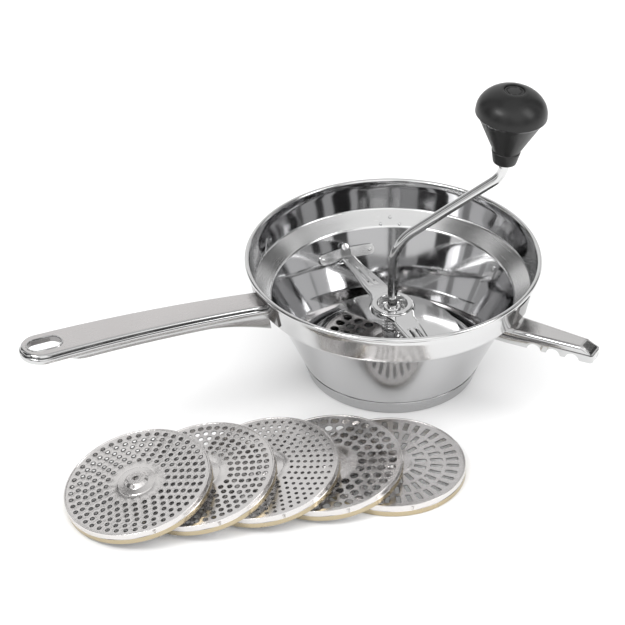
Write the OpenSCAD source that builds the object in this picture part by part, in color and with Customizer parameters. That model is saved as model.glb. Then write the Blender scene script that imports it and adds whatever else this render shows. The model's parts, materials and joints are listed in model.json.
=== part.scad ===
// Rotary food mill: a spun steel bowl on a foot ring, with a long handle and a short rest hook.
// A crossbar wedged across the bowl carries the hand crank, its spring and its pressing blade.
// One sieve disc lies in the seat, and five spare discs lean on each other in front of the foot.
// The origin is on the bowl axis at the table, +Z is up and the crank knob stands towards +X.

/* [Bowl] */
// Outside radius of the rolled rim
rim_r = 120; // [119:0.5:121]
// Height of the rim above the table
bowl_h = 107; // [106:0.5:108]
// Thickness of the bowl sheet
sheet_t = 1; // [0.8:0.1:1.1]
// Radius of the outlet under the sieve disc
outlet_r = 53; // [52:0.5:54]
// Bore radius inside the foot ring
foot_bore_r = 66.5; // [66:0.1:67]

/* [Long handle] */
// Distance from the bowl axis to the handle's tip
handle_reach = 320; // [316:1:330]
// Handle width near the tip
handle_w = 34; // [32:0.5:36]
// Handle width where it meets the bowl
handle_root_w = 26; // [24:0.5:28]
// Direction of the handle around the bowl, counted from +X
handle_turn = 205; // [195:1:215]

/* [Rest hook] */
// Distance from the bowl axis to the hook's end
hook_reach = 180; // [176:1:185]
// Height of the hook's top face
hook_z = 77; // [75:0.5:78]
// Direction of the hook around the bowl, counted from +X
hook_turn = -28; // [-35:1:-20]

/* [Crossbar] */
// Direction of the crossbar's rear arm, counted from +X
bar_turn = 114.5; // [105:0.5:125]
// Height of the hub's upper edge
hub_z = 61; // [60:0.5:62]
// Running clearance between a shaft and its bore, on the radius
run_gap = 0.05; // [0.02:0.01:0.08]

/* [Crank] */
// Radius of the crank rod
rod_r = 4; // [3.8:0.1:4.2]
// Sideways throw of the crank, from the bowl axis to the knob's foot
throw = 85.5; // [80:0.5:96]
// Height of the first bend's corner
bend_z = 118; // [114:1:122]
// Height of the second bend's corner
elbow_z = 182.5; // [178:0.5:190]
// Outward lean of the knob
lean = 5; // [2:1:8]

/* [Knob] */
// Largest radius of the knob
knob_r = 28.5; // [27:0.5:30]
// Height of the knob
knob_h = 65.5; // [64:0.5:68]

/* [Sieve discs] */
// Outside radius of a disc
disc_r = 58.5; // [58:0.1:59]
// Height of a disc from its rim's edge to its plate
disc_h = 9; // [8.5:0.1:9.5]
// Thickness of the disc sheet
disc_t = 0.9; // [0.8:0.1:1]
// Height of the boss in the middle
boss_h = 4; // [3.5:0.1:4.2]
// Distance between neighbouring spare discs
fan_step = 50; // [49:0.5:57]

/* [Hidden] */
$fn = 64;

steel = "silver";
satin = "lightgray";
black = "#202020";

// ---- bowl ----
floor_z = 13;                 // middle of the sheet at the seat
band_low_z = 81;              // where the ledge meets the upper band
ledge_in_z = 71.6;            // where the ledge drops into the cone
ledge_in_r = 99;
bead_r = 2;                   // radius of the rolled rim
foot_top_r = 73;
foot_low_r = 69;
locate_r = 63;                // crest of the bead that centres the seated disc
band_low_r = rim_r - 7.8;
band_top_r = rim_r - 3.2;
band_top_z = bowl_h - 2.5;

function unit(v) = v / norm(v);

// A corner b between a and c, rounded to radius r in n steps
function corner(a, b, c, r, n) =
    r == 0 ? [b] :
    let (u = unit(a - b), v = unit(c - b), half = acos(u * v) / 2, turn = 180 - 2 * half,
         mid = b + unit(u + v) * r / sin(half),
         p = unit(b + u * r / tan(half) - mid), q = unit(b + v * r / tan(half) - mid))
    [for (i = [0:n]) mid + r * (sin(turn * (1 - i / n)) * p + sin(turn * i / n) * q) / sin(turn)];

// A path of [x, y, corner radius] turned into plain points
function rounded(path, n = 4) = let (xy = [for (p = path) [p[0], p[1]]], last = len(path) - 1)
    [for (i = [0:last])
        each (i == 0 || i == last ? [xy[i]] : corner(xy[i - 1], xy[i], xy[i + 1], path[i][2], n))];

// The point i of a path, moved sideways by d
function shifted(p, i, d) =
    let (a = i == 0 ? p[1] - p[0] : p[i] - p[i - 1],
         b = i == len(p) - 1 ? a : p[i + 1] - p[i],
         na = unit([-a[1], a[0]]), nb = unit([-b[1], b[0]]), m = unit(na + nb))
    p[i] + m * d / (m * na);

// The closed outline of a sheet of thickness t along a path
function sheet(p, t) = concat([for (i = [0:len(p) - 1]) shifted(p, i, t / 2)],
                              [for (i = [len(p) - 1:-1:0]) shifted(p, i, -t / 2)]);

bowl_path = rounded([
    [outlet_r + sheet_t / 2, floor_z - 5, 0], [outlet_r + sheet_t / 2, floor_z, 2],
    [locate_r - 3.2, floor_z, 1.2], [locate_r - 1.4, floor_z + 5.5, 1.2],
    [locate_r + 1.4, floor_z + 5.5, 1.2], [locate_r + 3.2, floor_z, 1.2],
    [foot_top_r - 0.7, floor_z, 1.2], [ledge_in_r, ledge_in_z, 3],
    [band_low_r, band_low_z, 2.5], [band_top_r, band_top_z, 0]]);

// Small bumps on the ledge, front and rear, where the crossbar is turned home
module ledge_bumps() {
    for (side = [90, 270]) {
        for (turn = [-4.5, 4.5])
            rotate([0, 0, side + turn]) translate([ledge_in_r + 1.5, 0, ledge_in_z + 1.4]) sphere(1.5);
        rotate([0, 0, side]) translate([(ledge_in_r + band_low_r) / 2, 0, (ledge_in_z + band_low_z) / 2])
            sphere(1.2);
    }
}

module bowl() {
    color(steel) union() {
        rotate_extrude($fn = 128) polygon(sheet(bowl_path, sheet_t));
        rotate_extrude($fn = 128) translate([rim_r - bead_r, bowl_h - bead_r]) circle(bead_r, $fn = 24);
        ledge_bumps();
    }
}

// The space that the bowl fills from outside, grown by d, for trimming what is welded to it
module bowl_space(d) {
    wall = [[foot_top_r - 0.7, floor_z], [ledge_in_r, ledge_in_z], [band_low_r, band_low_z],
        [band_top_r, band_top_z], [band_top_r, bowl_h + 10]];
    rotate_extrude($fn = 128) polygon(concat([[0, floor_z]],
        [for (i = [0:4]) shifted(wall, i, -sheet_t / 2 - d)], [[0, bowl_h + 10]]));
}

module foot_ring() {
    top_z = floor_z - sheet_t / 2;
    color(satin) rotate_extrude($fn = 128)
        polygon([[foot_bore_r, 0], [foot_low_r - 0.5, 0], [foot_low_r, 0.6], [foot_top_r, top_z],
                 [foot_top_r - 2.2, top_z], [foot_low_r - 0.4, 4.5], [foot_bore_r, 4.5]]);
}

// A plate that lies against the upper band, from z_low to z_high and over an angle
module band_plate(z_low, z_high, angle, t) {
    slope = (band_top_r - band_low_r) / (band_top_z - band_low_z);
    r_low = band_low_r + sheet_t / 2 + 0.06 + slope * (z_low - band_low_z);
    r_high = band_low_r + sheet_t / 2 + 0.06 + slope * (z_high - band_low_z);
    rotate([0, 0, -angle / 2]) rotate_extrude(angle = angle, $fn = 128)
        polygon([[r_low, z_low], [r_low + t, z_low], [r_high + t, z_high], [r_high, z_high]]);
}

// ---- long handle, along +X before it is turned ----
handle_t = 1.2;
handle_root = 112;            // inside the band, trimmed back to the bracket
handle_flat = 295;            // where the top face becomes level
handle_top = bowl_h + 1.5;
handle_drop = 10;             // fall of the top face from there to the root
shell_depth = 8;
liner_depth = 12.6;
skirt_depth = 8.4;            // extra depth at the root
skirt_end = 168;
liner_end = handle_reach - 34;
slot_w = 15;
slot_l = 27;
slot_x = handle_reach - 20;
bracket_t = 1.5;

function top_at(x) = handle_top - handle_drop * pow(max(0, handle_flat - x) / (handle_flat - 119), 2);
function depth_at(x) = liner_depth + skirt_depth * pow(max(0, skirt_end - x) / (skirt_end - 119), 1.6);
function half_at(x) = (handle_root_w + (handle_w - handle_root_w) * (x - 119) / (handle_flat - 119)) / 2;

// The handle's form between two depths under its top face, pulled in by inset
module handle_form(inset, upper, lower, far, skirt) {
    xs = [for (i = [0:16]) handle_root + (far - handle_root) * i / 16];
    mid = handle_reach - handle_w / 2;
    tip = half_at(mid) - inset;
    root = half_at(handle_root) - inset;
    intersection() {
        rotate([90, 0, 0]) linear_extrude(60, center = true)
            polygon(concat([for (x = xs) [x, top_at(x) - upper]],
                [for (i = [16:-1:0]) [xs[i], top_at(xs[i]) - lower
                    - (skirt ? depth_at(xs[i]) - liner_depth : 0)]]));
        translate([0, 0, 40]) linear_extrude(100)
            polygon(concat([[handle_root, -root]],
                [for (a = [-90:7.5:90]) [mid + tip * cos(a), tip * sin(a)]], [[handle_root, root]]));
    }
}

module hang_slot() {
    for (x = [-1, 1]) translate([slot_x + x * (slot_l - slot_w) / 2, 0, 80]) cylinder(h = 50, d = slot_w);
    translate([slot_x - (slot_l - slot_w) / 2, -slot_w / 2, 80]) cube([slot_l - slot_w, slot_w, 50]);
}

module handle_shell() {
    color(satin) rotate([0, 0, handle_turn]) difference() {
        handle_form(0, 0, shell_depth, handle_reach, true);
        handle_form(handle_t, handle_t, shell_depth + 1, handle_reach, true);
        hang_slot();
        bowl_space(bracket_t + 0.1);
    }
}

module handle_liner() {
    color(steel) rotate([0, 0, handle_turn]) difference() {
        handle_form(handle_t, handle_t, liner_depth, liner_end, true);
        handle_form(2 * handle_t, handle_t - 1, liner_depth - handle_t, liner_end - handle_t, true);
        bowl_space(bracket_t + 0.1);
    }
}

module handle_bracket() {
    color(steel) rotate([0, 0, handle_turn]) band_plate(84, 100, 24, bracket_t);
}

// ---- rest hook ----
hook_t = 1.5;
hook_depth = 13.5;
hook_root_w = 24;
hook_end_w = 15;

module hook_form(inset, z_low, z_high) {
    root = 90;
    far = hook_reach - inset;
    w0 = hook_root_w / 2 - inset;
    w1 = hook_end_w / 2 - inset;
    translate([0, 0, z_low]) linear_extrude(z_high - z_low)
        polygon([[root, w0], [110, w0], [far - 2, w1], [far, w1 - 2],
                 [far, 2 - w1], [far - 2, -w1], [110, -w0], [root, -w0]]);
}

module rest_hook() {
    color(steel) rotate([0, 0, hook_turn]) difference() {
        hook_form(0, hook_z - hook_depth, hook_z);
        hook_form(hook_t, hook_z - hook_depth - 1, hook_z - hook_t);
        for (x = [0:2]) translate([hook_reach - 17 - 16 * x, 0, hook_z - hook_depth - 1])
            rotate([90, 0, 0]) cylinder(h = 40, r = 6, center = true);
        bowl_space(0.3);
    }
}

module hook_bracket() {
    color(steel) rotate([0, 0, hook_turn]) band_plate(hook_z + 5, bowl_h - 8, 9, hook_t);
}

// ---- crossbar, arms along X before it is turned ----
bar_t = 1.6;
bar_tip_r = 84;
bar_fall = 3.5;               // the arms sink towards the wall
hub_r = 18.5;
cup_r = 11.5;
cup_floor = hub_z - 7;
wall_spring_z = hub_z - 9;     // lower edge of the wall springs
wall_spring_h = 8;
wall_spring_t = 1.2;
wall_spring_angle = 27;
wall_gap = 0.45;
cone_slope = (ledge_in_r - foot_top_r + 0.7) / (ledge_in_z - floor_z);
wall_spring_r = foot_top_r - 0.7 + cone_slope * (wall_spring_z - floor_z)
    - sheet_t / 2 * sqrt(1 + pow(cone_slope, 2)) - wall_gap - wall_spring_t;

module arm() {
    tilt = atan(bar_fall / (bar_tip_r - hub_r));
    translate([cup_r + 1, 0, hub_z - 3]) rotate([0, tilt, 0]) {
        linear_extrude(bar_t) polygon([[0, 10], [14, 9.5], [bar_tip_r - cup_r - 1, 6],
            [bar_tip_r - cup_r - 1, -6], [14, -9.5], [0, -10]]);
        for (y = [-3, 3]) translate([18, y - 0.9, bar_t - 0.01]) cube([38, 1.8, 1.2]);
    }
}

module crossbar() {
    color(steel) rotate([0, 0, bar_turn]) difference() {
        union() {
            arm();
            mirror([1, 0, 0]) arm();
            translate([0, 0, hub_z - 4]) cylinder(h = 3, r = hub_r);
        }
        translate([0, 0, hub_z - 10]) cylinder(h = 20, r = cup_r + 1.2);
    }
}

// The pressed cup in the middle, whose floor guides the shaft
module hub_cup() {
    color(steel) rotate_extrude()
        polygon([[rod_r + run_gap, cup_floor - 1.5], [cup_r + 1.2, cup_floor - 1.5],
                 [cup_r + 1.2, hub_z - 1], [hub_r - 1, hub_z - 1], [hub_r - 1, hub_z - 0.3],
                 [hub_r - 1.8, hub_z], [cup_r + 0.6, hub_z], [cup_r, hub_z - 0.7],
                 [cup_r, cup_floor + 1], [cup_r - 1, cup_floor], [rod_r + run_gap, cup_floor]]);
}

// A strip that bears on the wall of the bowl and leans with it, rounded at both ends
module wall_spring() {
    end_a = wall_spring_angle / 2;
    h = wall_spring_h;
    t = wall_spring_t;
    rotate([0, 0, -end_a]) rotate_extrude(angle = wall_spring_angle, $fn = 128)
        translate([wall_spring_r, wall_spring_z])
            polygon([[0, 0], [t, 0], [t + h * cone_slope, h], [h * cone_slope, h]]);
    for (a = [-end_a, end_a]) rotate([0, 0, a])
        translate([wall_spring_r + h * cone_slope / 2, 0, wall_spring_z + h / 2])
            rotate([0, 90 + atan(cone_slope), 0]) cylinder(h = t * cos(atan(cone_slope)), r = h / 2);
}

module wall_spring_rear() { color(steel) rotate([0, 0, bar_turn]) wall_spring(); }
module wall_spring_front() { color(steel) rotate([0, 0, bar_turn + 180]) wall_spring(); }

// A folded clip that joins the arm's tip to its wall spring
module spring_clip() {
    z0 = wall_spring_z - 1.3;
    wall = wall_spring_r - bar_tip_r + 6;
    difference() {
        translate([bar_tip_r - 6, -4.5, z0]) cube([wall + 0.6, 9, wall_spring_h + 1]);
        translate([bar_tip_r - 8, -5.5, z0 + 1.2]) cube([wall + 0.6, 11, 20]);
        rotate([0, 0, -10]) rotate_extrude(angle = 20, $fn = 128)
            translate([wall_spring_r, wall_spring_z])
                polygon([[-0.02, -0.02], [9, -0.02], [9, 12], [12 * cone_slope, 12]]);
        translate([bar_tip_r - 3, 0, z0 - 1]) cylinder(h = 4, r = 1.5);
    }
}

module spring_clip_rear() { color(steel) rotate([0, 0, bar_turn]) spring_clip(); }
module spring_clip_front() { color(steel) rotate([0, 0, bar_turn + 180]) spring_clip(); }

module clip_rivet() {
    z0 = wall_spring_z - 1.3;
    translate([bar_tip_r - 3, 0, z0 - 0.9]) {
        cylinder(h = 0.9, r = 2.6);
        cylinder(h = 3.2, r = 1.5);
    }
}

module clip_rivet_rear() { color(satin) rotate([0, 0, bar_turn]) clip_rivet(); }
module clip_rivet_front() { color(satin) rotate([0, 0, bar_turn + 180]) clip_rivet(); }

// ---- parts on the shaft ----
plate_z = floor_z + sheet_t / 2 + disc_h;       // top of the seated disc's plate
pilot_r = 2.5;
pilot_z = floor_z + 8.2;        // foot of the pilot, low enough to stay in the boss
hub_low = plate_z + boss_h + 0.8;               // foot of the blade's hub
hub_high = hub_low + 8.5;
blade_hub_r = 8;
washer_t = 1.2;
washer_r = 8.6;
coil_r = 7;
wire_r = 0.9;
coil_turns = 4.5;
coil_low = hub_high + run_gap + washer_t;
coil_high = cup_floor - 1.5 - washer_t;

module washer(z) {
    translate([0, 0, z]) difference() {
        cylinder(h = washer_t, r = washer_r);
        translate([0, 0, -1]) cylinder(h = washer_t + 2, r = rod_r + 0.3);
    }
}

module upper_washer() { color(steel) washer(coil_high); }
module lower_washer() { color(steel) washer(hub_high + run_gap); }

// The open coil: rings of points along a helix, joined into one tube
module coil_spring() {
    steps = 20 * coil_turns;
    sides = 8;
    rise = coil_high - coil_low - 2 * wire_r;
    rings = [for (i = [0:steps]) let (a = 360 * coil_turns * i / steps)
        [for (k = [0:sides - 1]) let (b = 360 * k / sides, r = coil_r + wire_r * cos(b))
            [r * cos(a), r * sin(a), coil_low + wire_r + rise * i / steps + wire_r * sin(b)]]];
    quads = [for (i = [0:steps - 1], k = [0:sides - 1]) let (n = (k + 1) % sides)
        [i * sides + k, (i + 1) * sides + k, (i + 1) * sides + n, i * sides + n]];
    ends = [[for (k = [0:sides - 1]) k], [for (k = [sides - 1:-1:0]) steps * sides + k]];
    color(satin) polyhedron([for (ring = rings) each ring], concat(quads, ends), convexity = 8);
}

// The thin collar that stops the shaft from dropping, held by a cross pin
module stop_collar() {
    color(steel) translate([0, 0, cup_floor + 0.2]) difference() {
        cylinder(h = 4, r = 7);
        translate([0, 0, -1]) cylinder(h = 6, r = rod_r);
        translate([0, 0, 2]) rotate([90, 0, 30]) cylinder(h = 30, r = 1, center = true);
    }
}

module stop_pin() {
    color(satin) translate([0, 0, cup_floor + 2.2]) rotate([90, 0, 30])
        cylinder(h = 17, r = 1, center = true);
}

module blade_hub() {
    color(steel) translate([0, 0, hub_low]) difference() {
        cylinder(h = hub_high - hub_low, r = blade_hub_r);
        translate([0, 0, -1]) cylinder(h = 20, r = rod_r);
    }
}

blade_r = disc_r - 2.5;
blade_start = 205;            // where the pressing edge lies, counted from +X
blade_sweep = 300;
blade_rise = 11;
blade_t = 1.2;

// Height of the blade's underside over the plate: clear of the boss, and rising along its sweep
function blade_lift(r, s) = max(0.5 + blade_rise * s, r < 20 ? boss_h * (20 - r) / 10 + 0.8 : 0);

module blade() {
    steps = 60;
    radii = [blade_hub_r - 0.3, 12, 16, 20, 30, 44, blade_r];
    cols = len(radii);
    layer = (steps + 1) * cols;
    pts = [for (side = [0, 1], i = [0:steps], r = radii) let (a = blade_start + blade_sweep * i / steps)
        [r * cos(a), r * sin(a), plate_z + min(blade_lift(r, i / steps), blade_rise + 0.5) + side * blade_t]];
    faces = concat(
        [for (i = [0:steps - 1], j = [0:cols - 2])
            [i * cols + j, i * cols + j + 1, (i + 1) * cols + j + 1, (i + 1) * cols + j]],
        [for (i = [0:steps - 1], j = [0:cols - 2])
            [layer + i * cols + j, layer + (i + 1) * cols + j,
             layer + (i + 1) * cols + j + 1, layer + i * cols + j + 1]],
        [for (i = [0:steps - 1]) let (a = i * cols, b = a + cols)
            [a, b, layer + b, layer + a]],
        [for (i = [0:steps - 1]) let (a = i * cols + cols - 1, b = a + cols)
            [a, layer + a, layer + b, b]],
        [for (j = [0:cols - 2]) [j, layer + j, layer + j + 1, j + 1]],
        [for (j = [0:cols - 2]) let (a = steps * cols + j) [a, a + 1, layer + a + 1, layer + a]]);
    color(steel) polyhedron(pts, faces, convexity = 6);
}

// ---- crank rod, in the XZ plane ----
bend_radius = 40;
elbow_radius = 20;
climb = atan2(elbow_z - bend_z, throw);         // slope of the long stretch
bend_turn = 90 - climb;
elbow_turn = 90 - lean - climb;
bend_cut = bend_radius * tan(bend_turn / 2);
elbow_cut = elbow_radius * tan(elbow_turn / 2);
stretch = norm([throw, elbow_z - bend_z]) - bend_cut - elbow_cut;
knob_lift = 4;                                  // from the elbow's end to the knob's foot
spindle = 50;                                   // length of rod inside the knob
bend_thin = 0.05;                               // a bend leaves the bar this much thinner

// A bent length of rod that starts at the origin along +Z and turns towards +X by turn degrees
module elbow(radius, turn) {
    translate([radius, 0, 0]) rotate([90, 0, 0]) rotate([0, 0, 180 - turn])
        rotate_extrude(angle = turn) translate([radius, 0]) circle(rod_r - bend_thin);
}

// Moves its children to the end of the rod, where the knob's foot is
module at_knob() {
    translate([throw, 0, elbow_z]) rotate([0, lean, 0]) translate([0, 0, elbow_cut + knob_lift]) children();
}

module crank_rod() {
    lap = 0.4;
    color(satin) union() {
        translate([0, 0, pilot_z]) cylinder(h = hub_low - pilot_z + lap, r = pilot_r);
        translate([0, 0, hub_low]) cylinder(h = bend_z - bend_cut - hub_low + lap, r = rod_r);
        translate([0, 0, bend_z - bend_cut]) elbow(bend_radius, bend_turn);
        translate([0, 0, bend_z]) rotate([0, bend_turn, 0]) translate([0, 0, bend_cut - lap])
            cylinder(h = stretch + 2 * lap, r = rod_r);
        translate([throw, 0, elbow_z]) rotate([0, bend_turn, 0]) translate([0, 0, -elbow_cut])
            mirror([1, 0, 0]) elbow(elbow_radius, elbow_turn);
        at_knob() translate([0, 0, -knob_lift - lap]) cylinder(h = knob_lift + spindle, r = rod_r);
    }
}

// ---- knob, its foot at the origin ----
collar_h = 10.5;
cone_top = 41.5;              // where the cone ends in a bevel
wide_z = 46;                  // where the dome starts
cap_r = 8.3;
nut_z = 47;

module knob() {
    crown = acos((cap_r + 1) / knob_r);
    dome = [for (i = [0:11]) let (a = crown * i / 11)
        [knob_r * cos(a), wide_z + (knob_h - wide_z) * sin(a) / sin(crown)]];
    color(black) at_knob() rotate_extrude()
        polygon(concat([[rod_r + run_gap, 0], [9.5, 0], [10.5, 1], [11.5, collar_h],
                 [knob_r - 2.2, cone_top], [knob_r, cone_top + 3]],
            dome, [[cap_r, knob_h - 0.5], [cap_r, nut_z],
                   [rod_r + run_gap, nut_z]]));
}

module knob_cap() {
    color(black) at_knob() translate([0, 0, knob_h - 4]) cylinder(h = 3, r = cap_r);
}

module knob_push_nut() {
    color(steel) at_knob() translate([0, 0, nut_z + 0.3]) difference() {
        cylinder(h = 1.5, r = 7);
        translate([0, 0, -1]) cylinder(h = 4, r = rod_r);
    }
}

// ---- sieve discs, standing on their rims with the axis along Z ----
boss_r = 16;
boss_top_r = 7;
field_in = boss_r + 3.5;
field_out = disc_r - 4.5;

// Rings of holes of radius r, ring_gap apart, with about pitch from hole to hole
module hole_rings(r, ring_gap, pitch) {
    rings = floor((field_out - field_in - 2 * r) / ring_gap);
    for (k = [0:rings]) {
        ring_r = field_out - r - k * ring_gap;
        count = floor(2 * PI * ring_r / pitch);
        for (i = [0:count - 1])
            rotate(360 * (i + (k % 2) / 2) / count) translate([ring_r, 0]) circle(r, $fn = 16);
    }
}

// Three rings of radial slots
module slot_rings() {
    for (k = [0:2]) {
        ring_r = field_out - 6 - k * 12.5;
        count = [36, 28, 18][k];
        for (i = [0:count - 1])
            rotate(360 * (i + (k % 2) / 2) / count) translate([ring_r, 0]) square([9, 3.4], center = true);
    }
}

// A disc with its perforations given as a flat child
module sieve_disc() {
    h = disc_h;
    union() {
        translate([0, 0, h - disc_t]) linear_extrude(disc_t) difference() {
            circle(disc_r - 1.5);
            circle(boss_r);
            children();
        }
        rotate_extrude() polygon([[disc_r - disc_t - 0.1, 0], [disc_r, 0], [disc_r, h - 0.8],
            [disc_r - 0.8, h], [disc_r - 1.5, h], [disc_r - 1.5, h - disc_t], [disc_r - disc_t - 0.1, h - 1.8]]);
        rotate_extrude() polygon([[pilot_r + run_gap, h + boss_h - disc_t - 0.6], [boss_top_r, h + boss_h - disc_t - 0.6],
            [boss_r, h - disc_t], [boss_r, h], [boss_top_r + 0.6, h + boss_h],
            [pilot_r + run_gap, h + boss_h]]);
    }
}

module seated_disc() {
    color(steel) translate([0, 0, floor_z + sheet_t / 2 + 0.05]) sieve_disc() hole_rings(3.5, 9.6, 9.8);
}

// ---- the fan of spare discs: number 0 lies flat and each next one leans on it ----
fan_x = -3;
fan_y = -146;
fan_turn = 192.5;             // direction from one disc to the next
lean_turn = 25;               // direction in which the discs rise
lean_gap = 2.4;

function fan_tilt(n) = n == 0 ? 0 :
    asin((disc_r * sin(fan_tilt(n - 1)) + disc_h + boss_h + lean_gap) / (2 * disc_r));

module in_fan(n) {
    translate([fan_x + n * fan_step * cos(fan_turn), fan_y + n * fan_step * sin(fan_turn),
               disc_r * sin(fan_tilt(n)) + 0.05])
        rotate([0, 0, lean_turn]) rotate([0, -fan_tilt(n), 0]) children();
}

module shred_disc() { color(steel) in_fan(0) sieve_disc() slot_rings(); }
module coarse_disc() { color(steel) in_fan(1) sieve_disc() hole_rings(3, 8, 8.6); }
module rasp_disc() { color(steel) in_fan(2) sieve_disc() hole_rings(1.25, 5.2, 6.4); }
module medium_disc() { color(steel) in_fan(3) sieve_disc() hole_rings(1.9, 5.6, 6.6); }
module fine_disc() { color(steel) in_fan(4) sieve_disc() hole_rings(1.3, 5.6, 7.4); }

bowl();
foot_ring();
handle_shell();
handle_liner();
handle_bracket();
rest_hook();
hook_bracket();
crossbar();
hub_cup();
wall_spring_rear();
wall_spring_front();
spring_clip_rear();
spring_clip_front();
clip_rivet_rear();
clip_rivet_front();
upper_washer();
coil_spring();
lower_washer();
crank_rod();
stop_collar();
stop_pin();
blade_hub();
blade();
knob();
knob_cap();
knob_push_nut();
seated_disc();
fine_disc();
medium_disc();
rasp_disc();
coarse_disc();
shred_disc();
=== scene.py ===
import json
import math

import bmesh
import bpy
from mathutils import Matrix, Vector
from mathutils.geometry import delaunay_2d_cdt


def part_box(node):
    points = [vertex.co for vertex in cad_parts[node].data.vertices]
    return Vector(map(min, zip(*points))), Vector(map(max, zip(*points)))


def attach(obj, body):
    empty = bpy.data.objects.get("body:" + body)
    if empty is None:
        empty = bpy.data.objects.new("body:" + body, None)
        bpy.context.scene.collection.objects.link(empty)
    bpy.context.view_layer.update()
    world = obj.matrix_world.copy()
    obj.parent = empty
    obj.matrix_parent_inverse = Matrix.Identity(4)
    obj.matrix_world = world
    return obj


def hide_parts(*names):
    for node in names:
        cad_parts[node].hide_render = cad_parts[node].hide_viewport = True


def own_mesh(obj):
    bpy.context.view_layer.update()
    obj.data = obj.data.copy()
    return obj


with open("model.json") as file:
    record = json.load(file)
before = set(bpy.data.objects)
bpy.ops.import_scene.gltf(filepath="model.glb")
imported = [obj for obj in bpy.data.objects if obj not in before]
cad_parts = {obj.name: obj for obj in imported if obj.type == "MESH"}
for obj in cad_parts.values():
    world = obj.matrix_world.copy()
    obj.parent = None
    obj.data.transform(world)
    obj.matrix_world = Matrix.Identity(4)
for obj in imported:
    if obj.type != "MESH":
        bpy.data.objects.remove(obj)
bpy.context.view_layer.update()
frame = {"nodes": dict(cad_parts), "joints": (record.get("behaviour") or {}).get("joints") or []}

MM = 0.001

# ---------------------------------------------------------------- sizes, in millimetres
# Places and main sizes come from the frame. The rest are the sheet's own details.


def low(node):
    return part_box(node)[0] / MM


def high(node):
    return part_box(node)[1] / MM


RIM_R = high("bowl").x
RIM_Z = high("bowl").z
SHEET_T = 1.0
FLOOR_Z = high("foot_ring").z + SHEET_T / 2      # middle of the sheet at the seat
FOOT_TOP_R = 73.0
FOOT_LOW_R = 69.0
FOOT_BORE_R = 66.5
OUTLET_R = 53.0
LOCATE_R = 63.0
LEDGE_IN = (99.0, 71.6)
BAND_LOW = (RIM_R - 7.8, 81.0)
BAND_TOP = (RIM_R - 3.2, RIM_Z - 2.5)
BEAD_R = 2.0

JOINTS = {j["name"]: j for j in frame["joints"]}


# ---------------------------------------------------------------- camera
# A long lens from the front, about 34 degrees above the table. The offsets put the rim's centre
# right of and above the middle of the picture.
VIEW_ELEVATION = math.radians(34.14)
VIEW_DISTANCE = 2500 * MM
SENSOR = 36.0
LENS = 178.73
ASIDE = 64.98 * MM
ABOVE = 46.0 * MM


def add_camera():
    rim = Vector((0, 0, RIM_Z * MM))
    forward = Vector((0, math.cos(VIEW_ELEVATION), -math.sin(VIEW_ELEVATION)))
    up = Vector((0, math.sin(VIEW_ELEVATION), math.cos(VIEW_ELEVATION)))
    right = Vector((1, 0, 0))
    data = bpy.data.cameras.new("camera")
    data.sensor_width = SENSOR
    data.lens = LENS
    data.clip_end = 20
    camera = bpy.data.objects.new("camera", data)
    camera.location = rim - forward * VIEW_DISTANCE - right * ASIDE - up * ABOVE
    camera.rotation_euler = (math.pi / 2 - VIEW_ELEVATION, 0, 0)
    bpy.context.scene.collection.objects.link(camera)
    bpy.context.scene.camera = camera


add_camera()


# ---------------------------------------------------------------- outlines
def unit(v):
    return v / v.length


def rounded(path, steps=8):
    """Points along a path of (x, y, corner radius), with each corner turned into an arc."""
    pts = [Vector(p[:2]) for p in path]
    out = [pts[0]]
    for before, here, after, spec in zip(pts, pts[1:], pts[2:], path[1:]):
        out.extend(arc_corner(before, here, after, spec[2], steps))
    out.append(pts[-1])
    return out


def arc_corner(a, b, c, radius, steps):
    """Points of the arc that rounds corner b between a and c, in two or three dimensions."""
    if radius == 0:
        return [b]
    u, v = unit(a - b), unit(c - b)
    half = u.angle(v) / 2
    turn = math.pi - 2 * half
    mid = b + unit(u + v) * (radius / math.sin(half))
    p, q = unit(b + u * (radius / math.tan(half)) - mid), unit(b + v * (radius / math.tan(half)) - mid)
    return [mid + (p * math.sin(turn * (1 - i / steps)) + q * math.sin(turn * i / steps))
            * (radius / math.sin(turn)) for i in range(steps + 1)]


def spread(points, gap):
    """The same line with long straight stretches cut into lengths of about gap."""
    out = [points[0]]
    for a, b in zip(points, points[1:]):
        n = max(1, round((b - a).length / gap))
        out.extend(a.lerp(b, i / n) for i in range(1, n + 1))
    return out


def sheet_outline(points, thickness):
    """The closed outline of a sheet that runs along points."""
    left, right = [], []
    for i, p in enumerate(points):
        a = p - points[i - 1] if i else points[1] - p
        b = points[i + 1] - p if i < len(points) - 1 else a
        na, nb = unit(Vector((-a.y, a.x))), unit(Vector((-b.y, b.x)))
        m = unit(na + nb)
        step = m * (thickness / 2 / m.dot(na))
        left.append(p + step)
        right.append(p - step)
    return left, right


# ---------------------------------------------------------------- meshes
def new_piece(name, body, stands_for, slot, materials, verts, faces, index=None, smooth=True, crease=35):
    """Makes a mesh piece from points in millimetres, hangs it on its body and hides the CAD parts it stands
    for.
    """
    mesh = bpy.data.meshes.new(name)
    mesh.from_pydata([Vector(v) * MM for v in verts], [], faces)
    for m in materials:
        mesh.materials.append(m)
    if index:
        mesh.polygons.foreach_set("material_index", index)
    mesh.validate()
    piece = bpy.data.objects.new(name, mesh)
    bpy.context.scene.collection.objects.link(piece)
    clean_up(mesh)
    if smooth:
        mesh.shade_smooth()
        if crease:
            mesh.set_sharp_from_angle(angle=math.radians(crease))
    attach(piece, body)
    if stands_for:
        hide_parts(*stands_for)
    return piece


def clean_up(mesh):
    bm = bmesh.new()
    bm.from_mesh(mesh)
    bmesh.ops.remove_doubles(bm, verts=bm.verts, dist=1e-6)
    bmesh.ops.recalc_face_normals(bm, faces=bm.faces)
    bm.to_mesh(mesh)
    bm.free()


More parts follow.
